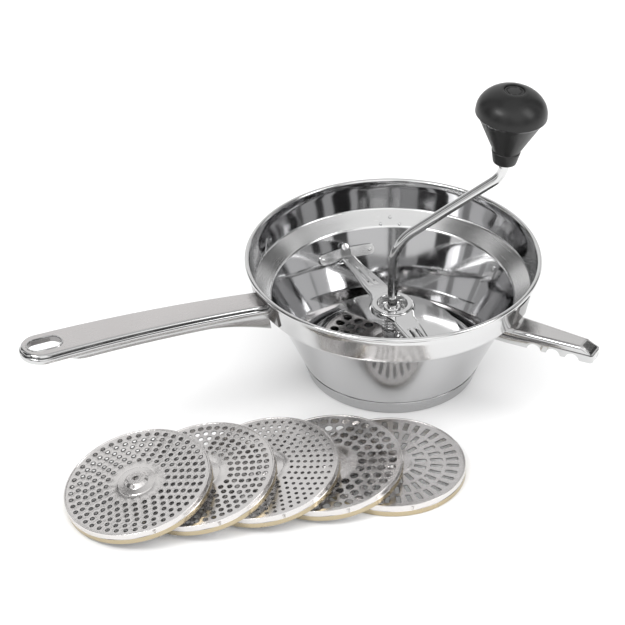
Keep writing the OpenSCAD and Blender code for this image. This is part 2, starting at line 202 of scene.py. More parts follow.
class Shape:
    """Points and faces collected part by part, with a material number for each face."""

    def __init__(self):
        self.verts, self.faces, self.index = [], [], []

    def add(self, verts, faces, index=0, place=None):
        base = len(self.verts)
        self.verts += [place @ Vector(v) for v in verts] if place else [Vector(v) for v in verts]
        self.faces += [[base + i for i in f] for f in faces]
        self.index += index if isinstance(index, list) else [index] * len(faces)
        return self

    def placed(self, place):
        self.verts = [place @ v for v in self.verts]
        return self

    def piece(self, name, body, stands_for, slot, materials, **options):
        return new_piece(name, body, stands_for, slot, materials,
                         self.verts, self.faces, self.index, **options)


def lathe(outline, segments=192, start=0.0, angle=2 * math.pi, index=None, closed=True):
    """Spins an outline of (radius, height) about Z. index gives a material per outline edge."""
    full = abs(angle - 2 * math.pi) < 1e-9
    count = len(outline)
    rows = segments if full else segments + 1
    verts = [(p[0] * math.cos(t), p[0] * math.sin(t), p[1])
             for t in (start + angle * i / segments for i in range(rows)) for p in outline]
    faces, kinds = [], []
    for i in range(segments):
        for j in range(count if closed else count - 1):
            a, b = i * count + j, i * count + (j + 1) % count
            c, d = ((i + 1) % rows) * count + (j + 1) % count, ((i + 1) % rows) * count + j
            on_axis = outline[j][0] < 1e-6, outline[(j + 1) % count][0] < 1e-6
            if all(on_axis):
                continue
            faces.append([b, c, d] if on_axis[0] else [a, b, d] if on_axis[1] else [a, b, c, d])
            kinds.append(index[j] if index else 0)
    if not full:
        faces += [list(range(count)), list(range(segments * count, (segments + 1) * count))]
        kinds += [kinds[0], kinds[0]]
    return verts, faces, kinds


def tube(points, radius, sides=24):
    """A round bar along points, with rounded ends. radius may be a list, one for each point."""
    radii = radius if isinstance(radius, list) else [radius] * len(points)
    normal = unit((points[1] - points[0]).orthogonal())
    verts, faces = [], []
    for i, p in enumerate(points):
        ahead = unit(points[min(i + 1, len(points) - 1)] - points[max(i - 1, 0)])
        normal = unit(normal - ahead * normal.dot(ahead))
        side = ahead.cross(normal)
        verts += [p + (normal * math.cos(t) + side * math.sin(t)) * radii[i]
                  for t in (2 * math.pi * k / sides for k in range(sides))]
    for i in range(len(points) - 1):
        for k in range(sides):
            n = (k + 1) % sides
            faces.append([i * sides + k, i * sides + n, (i + 1) * sides + n, (i + 1) * sides + k])
    last = (len(points) - 1) * sides
    faces += [list(range(sides))[::-1], [last + k for k in range(sides)]]
    return verts, faces


def capped(points, radius, edge):
    """Rounds the two ends of a bar by edge. Gives points and radii for tube()."""
    start, end = unit(points[0] - points[1]), unit(points[-1] - points[-2])
    turns = [math.pi / 8 * k for k in range(4)]
    first = [points[0] - start * edge * math.sin(t) for t in turns]
    last = [points[-1] - end * edge * math.sin(t) for t in reversed(turns)]
    rounding = [radius - edge * (1 - math.sin(t)) for t in turns]
    return first + points[1:-1] + last, rounding + [radius] * (len(points) - 2) + rounding[::-1]


def turned(degrees):
    return Matrix.Rotation(math.radians(degrees), 4, "Z")


def chamfered(outline, size=0.25):
    """A closed outline with every corner cut by a small chamfer, so that edges catch the light."""
    pts = [Vector(p) for p in outline]
    out = []
    for i, p in enumerate(pts):
        a, b = pts[i - 1], pts[(i + 1) % len(pts)]
        da, db = min(size, (a - p).length * 0.4), min(size, (b - p).length * 0.4)
        out += [p + unit(a - p) * da, p + unit(b - p) * db]
    return out


# ---------------------------------------------------------------- materials
class Nodes:
    """A short way to write a material's nodes."""

    def __init__(self, name):
        self.material = bpy.data.materials.new(name)
        self.material.use_nodes = True
        self.tree = self.material.node_tree
        self.shader = self.tree.nodes["Principled BSDF"]
        self.coords = self.tree.nodes.new("ShaderNodeTexCoord").outputs["Object"]
        split = self.tree.nodes.new("ShaderNodeSeparateXYZ")
        self.tree.links.new(self.coords, split.inputs[0])
        self.x, self.y, self.z = split.outputs

    def put(self, value, socket):
        if isinstance(value, bpy.types.NodeSocket):
            self.tree.links.new(value, socket)
        else:
            socket.default_value = value

    def math(self, operation, a, b=0.0, clamp=False):
        node = self.tree.nodes.new("ShaderNodeMath")
        node.operation = operation
        node.use_clamp = clamp
        for value, socket in zip((a, b), node.inputs):
            self.put(value, socket)
        return node.outputs[0]

    def vector(self, x, y, z):
        node = self.tree.nodes.new("ShaderNodeCombineXYZ")
        for value, socket in zip((x, y, z), node.inputs):
            self.put(value, socket)
        return node.outputs[0]

    def noise(self, where, scale, detail=2.0, roughness=0.5):
        node = self.tree.nodes.new("ShaderNodeTexNoise")
        self.put(where, node.inputs["Vector"])
        node.inputs["Scale"].default_value = scale
        node.inputs["Detail"].default_value = detail
        node.inputs["Roughness"].default_value = roughness
        return node.outputs["Fac"]

    def ramp(self, fac, a, b, low_out, high_out):
        """Maps fac from a..b to low_out..high_out, held at the ends."""
        node = self.tree.nodes.new("ShaderNodeMapRange")
        self.put(fac, node.inputs["Value"])
        for value, key in ((a, "From Min"), (b, "From Max"), (low_out, "To Min"), (high_out, "To Max")):
            node.inputs[key].default_value = value
        return node.outputs[0]

    def mix(self, fac, a, b):
        node = self.tree.nodes.new("ShaderNodeMix")
        node.data_type = "RGBA"
        self.put(fac, node.inputs["Factor"])
        self.put(a, node.inputs["A"])
        self.put(b, node.inputs["B"])
        return node.outputs["Result"]

    def bump(self, height, strength, distance, after=None):
        node = self.tree.nodes.new("ShaderNodeBump")
        node.inputs["Strength"].default_value = strength
        node.inputs["Distance"].default_value = distance
        self.put(height, node.inputs["Height"])
        if after:
            self.put(after, node.inputs["Normal"])
        return node.outputs[0]

    def radius(self):
        """Distance from the Z axis."""
        return self.math("SQRT", self.math("ADD", self.math("MULTIPLY", self.x, self.x),
                                           self.math("MULTIPLY", self.y, self.y)))


def steel(name, color=(0.80, 0.80, 0.81), rough=0.12, spread_rough=0.05, waves=0.0, lines=0.0,
          spun=None, along=None):
    """Stainless steel. waves is a soft unevenness that bends reflections, lines is a fine grain that
    runs round the Z axis (spun) or along a direction in degrees (along)."""
    n = Nodes(name)
    s = n.shader
    s.inputs["Metallic"].default_value = 1.0
    smudge = n.noise(n.coords, 38.0, 3.0)
    patch = n.noise(n.coords, 9.0, 2.0)
    n.put(n.mix(n.ramp(patch, 0.35, 0.65, 0.0, 1.0), (*[c * 0.95 for c in color], 1), (*color, 1)),
          s.inputs["Base Color"])
    grain = None
    if spun:
        grain = n.noise(n.vector(n.radius(), 0.0, n.z), spun, 2.0, 0.6)
    elif along is not None:
        t = math.radians(along)
        across = n.math("ADD", n.math("MULTIPLY", n.x, -math.sin(t)),
                        n.math("MULTIPLY", n.y, math.cos(t)))
        forward = n.math("ADD", n.math("MULTIPLY", n.x, math.cos(t)),
                         n.math("MULTIPLY", n.y, math.sin(t)))
        grain = n.noise(n.vector(n.math("MULTIPLY", forward, 0.03), across, n.z), 2200.0, 2.0, 0.6)
    base = n.ramp(smudge, 0.3, 0.7, rough - spread_rough / 2, rough + spread_rough / 2)
    if grain is not None:
        base = n.math("ADD", base, n.ramp(grain, 0.3, 0.7, -spread_rough / 2, spread_rough / 2), clamp=True)
    n.put(base, s.inputs["Roughness"])
    normal = None
    if waves:
        normal = n.bump(n.noise(n.coords, 26.0, 1.0), waves, 0.002)
    if lines and grain is not None:
        normal = n.bump(grain, lines, 0.0002, normal)
    if normal:
        n.put(normal, s.inputs["Normal"])
    return n.material


def black_plastic(name):
    n = Nodes(name)
    s = n.shader
    n.put(n.mix(n.noise(n.coords, 60.0, 3.0), (0.006, 0.006, 0.006, 1), (0.010, 0.010, 0.010, 1)),
          s.inputs["Base Color"])
    n.put(n.ramp(n.noise(n.coords, 120.0, 2.0), 0.3, 0.7, 0.34, 0.42), s.inputs["Roughness"])
    s.inputs["Specular IOR Level"].default_value = 0.35
    s.inputs["Coat Weight"].default_value = 0.08
    s.inputs["Coat Roughness"].default_value = 0.15
    n.put(n.bump(n.noise(n.coords, 900.0, 1.0), 0.02, 0.0001), s.inputs["Normal"])
    return n.material


MIRROR = steel("mirror_steel", (0.50, 0.50, 0.505), rough=0.07, spread_rough=0.04, waves=0.10)
LEDGE = steel("ledge_steel", (0.68, 0.68, 0.68), rough=0.24, spread_rough=0.05, spun=1500.0, lines=0.02)
BAND = steel("band_steel", (0.66, 0.66, 0.66), rough=0.14, spread_rough=0.05, spun=900.0, lines=0.05)
CONE = steel("cone_steel", (0.54, 0.54, 0.545), rough=0.11, spread_rough=0.05, spun=1200.0, lines=0.08)
FOOT = steel("foot_steel", (0.46, 0.46, 0.465), rough=0.24, spread_rough=0.06, spun=1500.0, lines=0.12)
SATIN = steel("satin_steel", (0.62, 0.60, 0.595), rough=0.30, spread_rough=0.08, along=25, lines=0.10)
POLISHED = steel("polished_steel", (0.57, 0.57, 0.57), rough=0.10, spread_rough=0.05, waves=0.05)
SPRING = steel("spring_steel", (0.72, 0.72, 0.72), rough=0.18, spread_rough=0.06)
ROD = steel("rod_steel", (0.66, 0.66, 0.66), rough=0.10, spread_rough=0.05, waves=0.03)
DISC = steel("disc_steel", (0.74, 0.72, 0.71), rough=0.23, spread_rough=0.08, waves=0.03)
# Painted reflection: a tan steel that paints the floor's tan reflection onto the lower outside wall of each
# disc's rim.
DISC_RIM_PAINTED_REFLECTION = steel("disc_rim_painted_reflection", (0.52, 0.44, 0.30), rough=0.25, spread_rough=0.08, waves=0.05)
CHANNEL = steel("channel_steel", (0.52, 0.52, 0.52), rough=0.20, spread_rough=0.06, along=25, lines=0.06)
HOOK_TOP = steel("hook_top_steel", (0.58, 0.57, 0.565), rough=0.22, spread_rough=0.06, along=-28,
                 lines=0.08)
# Painted shade: a dark grey steel for the brackets under the handle and hook and for the wall of the
# hanging slot.
PAINTED_SHADE_GREY = steel("painted_shade_grey", (0.26, 0.255, 0.255), rough=0.16, spread_rough=0.06)
# Painted shade: a near-black steel for hole walls and grooves, whose real steel is the same as the sheet
# around them.
PAINTED_SHADE_BLACK = steel("painted_shade_black", (0.10, 0.10, 0.10), rough=0.30, spread_rough=0.08)
BLACK = black_plastic("black_plastic")


# ---------------------------------------------------------------- bowl
NEAR_BUMP = (LEDGE_IN[0] + 1.5, LEDGE_IN[1] + 1.4)
MID_BUMP = ((LEDGE_IN[0] + BAND_LOW[0]) / 2, (LEDGE_IN[1] + BAND_LOW[1]) / 2)
LEDGE_BUMPS = [(-4.5, NEAR_BUMP), (4.5, NEAR_BUMP), (0, MID_BUMP)]     # turn, (radius, height)


def bowl_finish(p, is_inside):
    """Which of the bowl's four finishes a point of its outline has."""
    if is_inside:
        return 3 if LEDGE_IN[1] - 1 < p.y < BAND_LOW[1] + 1 and p.x > LEDGE_IN[0] - 3 else 0
    return 1 if p.y > BAND_LOW[1] - 3 else 2


def ledge_bump():
    dome = [(0, -1)] + [(1.5 * math.sin(t), 1.5 * math.cos(t)) for t in
                        (math.radians(a) for a in range(130, 0, -15))] + [(0, 1.5)]
    return lathe(dome, 24, index=[3] * len(dome))


def bowl():
    path = rounded([
        (OUTLET_R + SHEET_T / 2, FLOOR_Z - 5, 0), (OUTLET_R + SHEET_T / 2, FLOOR_Z, 2),
        (LOCATE_R - 3.2, FLOOR_Z, 1.2), (LOCATE_R - 1.4, FLOOR_Z + 5.5, 1.2),
        (LOCATE_R + 1.4, FLOOR_Z + 5.5, 1.2), (LOCATE_R + 3.2, FLOOR_Z, 1.2),
        (FOOT_TOP_R - 0.7, FLOOR_Z, 1.2), (*LEDGE_IN, 4), (*BAND_LOW, 3),
        (BAND_TOP[0], BAND_TOP[1] - 1.5, 0)], 10)
    inside, outside = sheet_outline(path, SHEET_T)
    bead_mid = Vector((RIM_R - BEAD_R, RIM_Z - BEAD_R))
    bead = [bead_mid + Vector((math.cos(t), math.sin(t))) * BEAD_R
            for t in (math.radians(a) for a in range(170, -120, -15))]
    inner = spread(inside, 6)
    outline = inner + bead + spread(outside[::-1], 6)
    finishes = [bowl_finish(p, i < len(inner)) for i, p in enumerate(outline)]
    shape = Shape().add(*lathe(outline, 288, index=finishes))
    for side in (90, 270):
        for turn, (x, z) in LEDGE_BUMPS:
            shape.add(*ledge_bump(), turned(side + turn) @ Matrix.Translation((x, 0, z)))
    shape.piece(
        "bowl_spun", "mill", ["bowl"], "polished_steel", [MIRROR, BAND, CONE, LEDGE], crease=50)


def foot():
    top = high("foot_ring").z
    outline = chamfered([(FOOT_BORE_R, 0), (FOOT_LOW_R - 0.5, 0), (FOOT_LOW_R, 0.6), (FOOT_TOP_R, top),
                         (FOOT_TOP_R - 2.2, top), (FOOT_LOW_R - 0.4, 4.5), (FOOT_BORE_R, 4.5)], 0.4)
    Shape().add(*lathe(outline, 256)).piece("foot_band", "mill", ["foot_ring"], "satin_steel", [FOOT])


bowl()
foot()


# ---------------------------------------------------------------- sieve discs
DISC_R = high("seated_disc").x
DISC_Z = low("seated_disc").z                    # the seated disc's lower edge
DISC_H = 9.0
DISC_T = 0.9
DISH = 0.7                                       # how far the plate sinks between boss and rim
BOSS_R = 16.0
PILOT_R = 2.55
FIELD_IN = BOSS_R + 3.5
FIELD_OUT = DISC_R - 4.5
PLATE_R = DISC_R - 2.5                           # where the plate meets the bead of the rim
RIM_SIDES = 192
BOSS_SIDES = 96

FAN_START = Vector((-3, -146, 0.05))
FAN_STEP = 50.0
FAN_TURN = math.radians(192.5)                   # from one spare disc to the next
LEAN_TURN = 25                                   # the way in which the spare discs rise
LEAN_GAP = 2.4


def hole_rings(radius, ring_gap, pitch):
    for k in range(int((FIELD_OUT - FIELD_IN - 2 * radius) / ring_gap) + 1):
        ring = FIELD_OUT - radius - k * ring_gap
        count = int(2 * math.pi * ring / pitch)
        for i in range(count):
            yield ring, 2 * math.pi * (i + (k % 2) / 2) / count, radius, radius, radius


def slot_rings():
    for k, count in enumerate((36, 28, 18)):
        for i in range(count):
            yield FIELD_OUT - 6 - k * 12.5, 2 * math.pi * (i + (k % 2) / 2) / count, 4.5, 1.7, 0.8


def opening(x, turn, half_l, half_w, corner, grow, steps):
    """A rectangle with round corners, or a circle, at distance x from the middle in direction turn."""
    out = []
    for q, (sx, sy) in enumerate(((1, 1), (-1, 1), (-1, -1), (1, -1))):
        for k in range(steps):
            a = math.pi / 2 * (q + (k + 0.5) / steps)
            p = Vector((x + sx * (half_l - corner) + (corner + grow) * math.cos(a),
                        sy * (half_w - corner) + (corner + grow) * math.sin(a)))
            out.append(Matrix.Rotation(turn, 2) @ p)
    return out


def ring_points(radius, count):
    return [Vector((radius * math.cos(t), radius * math.sin(t)))
            for t in (2 * math.pi * i / count for i in range(count))]


def flat_web(loops, extra_edges=()):
    """Triangles that fill the first loop and leave the others open. Gives the points and the faces."""
    points, edges, owner = [], [], []
    for number, loop in enumerate(loops):
        base = len(points)
        points += loop
        owner += [number] * len(loop)
        edges += [(base + i, base + (i + 1) % len(loop)) for i in range(len(loop))]
    edges += extra_edges
    _, _, faces, *_ = delaunay_2d_cdt(points, edges, [], 2, 1e-6)
    return points, [f for f in faces if owner[f[0]] == 0 or len({owner[i] for i in f}) > 1]


def plate_z(p):
    return DISC_H - DISH * math.sin(math.pi * (p.length - BOSS_R) / (PLATE_R - BOSS_R))


def band_between(a, b, count):
    return [[a + i, a + (i + 1) % count, b + (i + 1) % count, b + i] for i in range(count)]


def sieve(node, holes, place, lip=0.35, raised=-0.25, steps=3):
    """A pressed disc: a dished plate with holes whose edges roll in or stand up, a rim and a boss."""
    holes = list(holes)
    count = 4 * steps
    points, web = flat_web([ring_points(PLATE_R, RIM_SIDES), ring_points(BOSS_R, BOSS_SIDES)]
                           + [opening(*h, lip, steps) for h in holes])
    top = [(*p, plate_z(p)) for p in points]
    under = [(*p, plate_z(p) - DISC_T) for p in points]
    lips = [(*p, plate_z(p) + raised) for h in holes for p in opening(*h, 0, steps)]
    n, first = len(points), RIM_SIDES + BOSS_SIDES
    faces = [list(f) for f in web] + [[n + i for i in reversed(f)] for f in web]
    for k in range(len(holes)):
        edge, crest = first + k * count, 2 * n + k * count
        faces += band_between(edge, crest, count) + band_between(crest, n + edge, count)
    rim = rounded([(PLATE_R, DISC_H, 0), (DISC_R - 1.7, DISC_H, 0.3), (DISC_R - 1.4, DISC_H + 0.5, 0.3),
                   (DISC_R - 0.4, DISC_H + 0.5, 0.4), (DISC_R - 0.25, DISC_H - 0.6, 0.3),
                   (DISC_R - 0.4, 4.9, 0.3), (DISC_R, 4.4, 0.3), (DISC_R, 0.1, 0.4), (DISC_R - 0.9, 0, 0.3),
                   (DISC_R - 1.1, 6.8, 1), (PLATE_R, DISC_H - DISC_T, 0)], 4)
    boss = rounded([(BOSS_R, DISC_H, 0), (BOSS_R - 1, DISC_H + 0.6, 0.8), (9.8, DISC_H + 1.3, 2),
                    (6.9, DISC_H + 3.9, 2.2), (PILOT_R, DISC_H + 4, 0.2), (PILOT_R, DISC_H + 3.1, 0.2),
                    (6.3, DISC_H + 3.0, 1.6), (9.2, DISC_H + 0.4, 1.5), (BOSS_R - 0.9, DISC_H - 0.3, 0.8),
                    (BOSS_R, DISC_H - DISC_T, 0)], 5)
    # Painted reflection: the rim's lower outside wall, below 4.7 mm, takes the tan material (index 1).
    painted_reflection_edges = [1 if max(a.y, b.y) < 4.7 and a.x > DISC_R - 1.05 else 0 for a, b in zip(rim, rim[1:])]
    # Painted shade: the hole walls take the near-black material (index 2), so the holes read dark.
    walls = 2 * len(holes) * count
    shape = Shape().add(top + under + lips, faces, [0] * (len(faces) - walls) + [2] * walls, place)
    shape.add(*lathe(rim, RIM_SIDES, index=painted_reflection_edges, closed=False), place)
    shape.add(*lathe(boss, BOSS_SIDES, closed=False), place)
    for turn in (-100, 80):
        lug = [(DISC_R - 0.7, -2.2, 8.6), (DISC_R - 0.7, 2.2, 8.6), (DISC_R - 0.5, 0, 2.6),
               (DISC_R + 0.7, 0, 8.2), (DISC_R + 0.5, 0, 5)]
        shape.add(lug, [[0, 3, 1], [0, 2, 4, 3], [1, 3, 4, 2], [0, 1, 2]], 0, place @ turned(turn))
    shape.piece(node.replace("_disc", "_sieve"), node, [node], "disc_steel",
                [DISC, DISC_RIM_PAINTED_REFLECTION, PAINTED_SHADE_BLACK], crease=32)


def fan_tilt(n):
    """How far spare disc n leans, from the height at which it rests on the disc before it."""
    if n == 0:
        return 0
    rest = DISC_R * math.sin(fan_tilt(n - 1)) + DISC_H + 4 + LEAN_GAP
    return math.asin(rest / (2 * DISC_R))


def in_fan(n):
    tilt = fan_tilt(n)
    step = Vector((math.cos(FAN_TURN), math.sin(FAN_TURN), 0)) * FAN_STEP * n
    lift = Vector((0, 0, DISC_R * math.sin(tilt)))
    return Matrix.Translation(FAN_START + step + lift) @ turned(LEAN_TURN) @ Matrix.Rotation(-tilt, 4, "Y")


def discs():
    sieve("seated_disc", hole_rings(3.5, 9.6, 9.8), Matrix.Translation((0, 0, DISC_Z)), steps=5)
    sieve("shred_disc", slot_rings(), in_fan(0), steps=2)
    sieve("coarse_disc", hole_rings(3, 8, 8.6), in_fan(1), steps=5)
    sieve("rasp_disc", hole_rings(1.25, 5.2, 6.4), in_fan(2), lip=0.3)
    sieve("medium_disc", hole_rings(1.9, 5.6, 6.6), in_fan(3))
    sieve("fine_disc", hole_rings(1.3, 5.6, 7.4), in_fan(4), lip=0.75, raised=0.35)


# ---------------------------------------------------------------- crank
ROD_R = 4.0
THROW = 85.5
BEND_Z = 118.0
ELBOW_Z = 182.5
BEND_RADIUS = 40.0
ELBOW_RADIUS = 20.0
SPINDLE = 49.6
PLATE_Z = DISC_Z + DISC_H
HUB_LOW = low("blade_hub").z
HUB_HIGH = high("blade_hub").z
KNOB_FOOT = Vector(JOINTS["knob_spin"]["pos_m"]) / MM
KNOB_AXIS = Vector(JOINTS["knob_spin"]["axis"])
AT_KNOB = Matrix.Translation(KNOB_FOOT) @ Matrix.Rotation(math.atan2(KNOB_AXIS.x, KNOB_AXIS.z), 4, "Y")


def rod():
    corners = [Vector((0, 0, HUB_LOW)), Vector((0, 0, BEND_Z)), Vector((THROW, 0, ELBOW_Z)),
               KNOB_FOOT + KNOB_AXIS * SPINDLE]
    bends = arc_corner(*corners[:3], BEND_RADIUS, 24) + arc_corner(*corners[1:], ELBOW_RADIUS, 20)
    line = [corners[0]] + bends + [corners[3]]
    shape = Shape().add(*tube(*capped(spread(line, 3), ROD_R, 0.6), 40))
    pilot = rounded([(0, low("crank_rod").z, 0), (2.5, low("crank_rod").z, 0.6), (2.5, HUB_LOW + 0.4, 0),
                     (0, HUB_LOW + 0.4, 0)], 4)
    shape.add(*lathe(pilot, 40))
    shape.piece("bent_rod", "crank", ["crank_rod"], "rod_steel", [ROD])


def knob():
    r, wide, top = 28.5, 46, 65.5
    crown = math.acos(9.3 / r)
    dome = [Vector((r * math.cos(a), wide + (top - wide) * math.sin(a) / math.sin(crown)))
            for a in (crown * i / 16 for i in range(17))]
    flank = rounded([(4.05, 0, 0), (9.4, 0, 0.9), (11.7, 10.6, 0.5), (11.0, 11.2, 0.3),
                     (r - 2.4, 41.2, 0.8), (r + 0.15, 43.9, 0.7), (r, wide, 0)], 5)
    inside = rounded([(9.3, top, 0), (8.4, top - 0.3, 0.4), (8.35, 47, 0.3), (4.05, 47, 0)], 3)
    Shape().add(*lathe(flank[:-1] + dome + inside, 128), AT_KNOB).piece(
        "knob_grip", "knob", ["knob"], "black_plastic", [BLACK], crease=40)
    cap = rounded([(0, 61.5, 0), (8.25, 61.5, 0.3), (8.25, 64.6, 0.5), (6.6, 64.7, 0.3), (6.2, 64.1, 0.3),
                   (5.6, 64.1, 0.3), (5.2, 64.6, 0.3), (0, 64.75, 0)], 4)
    Shape().add(*lathe(cap, 96), AT_KNOB).piece("knob_plug", "knob", ["knob_cap"], "black_plastic", [BLACK])


BLADE_R = DISC_R - 2.5
BLADE_START = 205.0
BLADE_SWEEP = 300.0
BLADE_RISE = 11.0


def blade_z(r, s):
    over_boss = 4 * (20 - r) / 10 + 0.8 if r < 20 else 0
    return PLATE_Z + min(max(0.5 + BLADE_RISE * s, over_boss), BLADE_RISE + 0.5)


def blade():
    """The spiral pressing blade: a helical sheet that lifts over the boss near the shaft."""
    steps, radii = 150, [7.7, 9, 10.5, 12, 14, 16, 18, 20, 24, 30, 38, 46, BLADE_R - 1, BLADE_R]
    cols, thick = len(radii), 1.2
    verts = []
    for side in (0, thick):
        for i in range(steps + 1):
            a = math.radians(BLADE_START + BLADE_SWEEP * i / steps)
            verts += [(r * math.cos(a), r * math.sin(a), blade_z(r, i / steps) + side) for r in radii]
    Shape().add(verts, grid_solid(steps + 1, cols)).piece(
        "spiral_blade", "crank", ["blade"], "polished_steel", [POLISHED], crease=30)


def lathed(name, body, node, slot, material, path, sides=96, place=None, steps=4):
    Shape().add(*lathe(rounded(path, steps), sides), place).piece(name, body, [node], slot, [material])


def shaft_parts():
    lathed("blade_boss", "crank", "blade_hub", "polished_steel", POLISHED,
           [(ROD_R, HUB_LOW, 0), (7.6, HUB_LOW, 0.5), (8, HUB_HIGH, 0.8), (ROD_R, HUB_HIGH, 0)])
    z = low("stop_collar").z
    lathed("collar_turned", "crank", "stop_collar", "polished_steel", POLISHED,
           [(ROD_R, z, 0), (7, z, 0.5), (7, z + 4, 0.8), (4.6, z + 4, 0.3), (ROD_R, z + 3.4, 0)])


def coil():
    """The spring under the hub, drawn at one length, though the real spring shortens from below as the
    shaft is pushed up.
    """
    wire, turns, steps = 0.9, 4.5, 48
    bottom, top, radius = low("coil_spring").z, high("coil_spring").z, high("coil_spring").x - wire
    count = int(turns * steps)
    line = [Vector((radius * math.cos(2 * math.pi * i / steps), radius * math.sin(2 * math.pi * i / steps),
                    bottom + wire + (top - bottom - 2 * wire) * i / count)) for i in range(count + 1)]
    piece = Shape().add(*tube(line, wire, 16)).piece(
        "spring_coil", "spring_seat", ["coil_spring"], "spring_steel", [SPRING], crease=50)
    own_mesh(piece)


# ---------------------------------------------------------------- crossbar
BAR_TURN = 114.5
HUB_Z = high("hub_cup").z
CUP_R = 11.5
CUP_FLOOR = HUB_Z - 7
BAR_TIP = 84.0
BAR_FALL = 3.5
BAR_T = 1.3


def smooth_step(x, a, b):
    t = min(max((x - a) / (b - a), 0), 1)
    return t * t * (3 - 2 * t)


def arm_half(x):
    """Half the arm's width at distance x from the shaft: flared at the hub, narrow at the tip."""
    return 6 + 3.6 * (1 - smooth_step(x, 26, 78)) + 3.2 * (1 - smooth_step(x, 12, 24))


def arm_relief(x, y):
    """How far the pressed arm stands off its plane: edges turned down, two ribs on the outer half."""
    edge = arm_half(x) - abs(y)
    down = -1.3 * (1 - smooth_step(edge, 0, 1.8))
    rib = math.exp(-((abs(y) - 2.6) / 0.95) ** 2)
    return down + 1.25 * rib * smooth_step(x, 34, 40) * (1 - smooth_step(x, 62, 70))


def arm(turn):
    xs = [CUP_R + 1 + (BAR_TIP - CUP_R - 1) * i / 72 for i in range(73)]
    rows = 33
    verts = []
    for side in (0, -BAR_T):
        for x in xs:
            base = HUB_Z - 1.6 - BAR_FALL * (x - 18) / (BAR_TIP - 18)
            for j in range(rows):
                y = arm_half(x) * math.sin(math.pi / 2 * (2 * j / (rows - 1) - 1))
                verts.append((x, y, base + arm_relief(x, y) + side))
    return verts, grid_solid(len(xs), rows), 0, turned(turn)


def grid_solid(rows, cols):
    """Faces of two grids of points, one over the other, joined round their edges."""
    layer = rows * cols
    faces = []
    for i in range(rows - 1):
        for j in range(cols - 1):
            quad = [i * cols + j, i * cols + j + 1, (i + 1) * cols + j + 1, (i + 1) * cols + j]
            faces += [quad, [layer + k for k in reversed(quad)]]
        for j in (0, cols - 1):
            a, b = i * cols + j, (i + 1) * cols + j
            faces.append([a, b, layer + b, layer + a])
    for i in (0, rows - 1):
        faces += [[i * cols + j, i * cols + j + 1, layer + i * cols + j + 1, layer + i * cols + j]
                  for j in range(cols - 1)]
    return faces


def crossbar():
    flank = rounded([(CUP_R + 1.3, HUB_Z - 0.9, 0), (17, HUB_Z - 0.9, 1.2), (19, HUB_Z - 4.6, 0.8),
                     (18.2, HUB_Z - 5, 0.2), (15.8, HUB_Z - 2.3, 0.8), (CUP_R + 1.3, HUB_Z - 2.3, 0)], 5)
    shape = Shape().add(*arm(BAR_TURN)).add(*arm(BAR_TURN + 180)).add(*lathe(flank, 128))
    shape.piece("pressed_bar", "crossbar_unit", ["crossbar"], "polished_steel", [POLISHED], crease=40)
    lathed("hub_dish", "crossbar_unit", "hub_cup", "polished_steel", POLISHED,
           [(4.05, CUP_FLOOR - 1.5, 0), (CUP_R + 0.6, CUP_FLOOR - 1.5, 1.2), (CUP_R + 1.2, HUB_Z - 1, 0.6),
            (16.4, HUB_Z - 0.9, 0.3), (16.6, HUB_Z, 0.4), (CUP_R + 0.8, HUB_Z + 0.1, 1),
            (CUP_R - 0.2, CUP_FLOOR + 0.6, 1.6), (4.6, CUP_FLOOR, 0.4), (4.05, CUP_FLOOR - 0.4, 0)],
           128, steps=6)


# Strips that bear on the wall of the bowl
STRIP_Z = HUB_Z - 9
STRIP_H = 8.0
STRIP_ANGLE = math.radians(27)
CONE_SLOPE = (LEDGE_IN[0] - FOOT_TOP_R + 0.7) / (LEDGE_IN[1] - FLOOR_Z)
STRIP_R = (FOOT_TOP_R - 0.7 + CONE_SLOPE * (STRIP_Z - FLOOR_Z)
           - SHEET_T / 2 * math.sqrt(1 + CONE_SLOPE ** 2) - 0.45 - 1.2)


def strip(turn):
    """A leaning strip with round ends and two shallow bends, a short pin near each end."""
    half = STRIP_R * STRIP_ANGLE / 2 + STRIP_H / 2
    cols, rows = 15, 81
    verts = []
    for depth in (0, 1.0):
        for i in range(rows):
            s = half * math.sin(math.pi / 2 * (2 * i / (rows - 1) - 1))
            over = max(0, abs(s) - half + STRIP_H / 2)
            h = math.sqrt(max((STRIP_H / 2) ** 2 - over ** 2, 0.01))
            wave = -0.55 * math.sin(math.pi * min(1, abs(s) / (half - 2))) ** 2
            for j in range(cols):
                v = STRIP_H / 2 + h * (2 * j / (cols - 1) - 1)
                r = STRIP_R + CONE_SLOPE * v + depth + wave
                verts.append((r * math.cos(s / STRIP_R), r * math.sin(s / STRIP_R), STRIP_Z + v))
    shape = (verts, grid_solid(rows, cols), 0, turned(turn))
    pins = []
    for side in (-1, 1):
        at = Matrix.Rotation(side * STRIP_ANGLE / 2, 4, "Z") @ Matrix.Translation(
            (STRIP_R + CONE_SLOPE * STRIP_H / 2, 0, STRIP_Z + STRIP_H / 2)) @ Matrix.Rotation(
            math.radians(-90) + math.atan(CONE_SLOPE), 4, "Y")
        pin = rounded([(0, 0.2, 0), (0.5, 0.2, 0.1), (0.6, 0.9, 0.2), (1.5, 0.7, 0.4), (1.7, -0.6, 0),
                       (0, -0.6, 0)], 3)
        pins.append((*lathe(pin, 32), turned(turn) @ at))
    return shape, pins


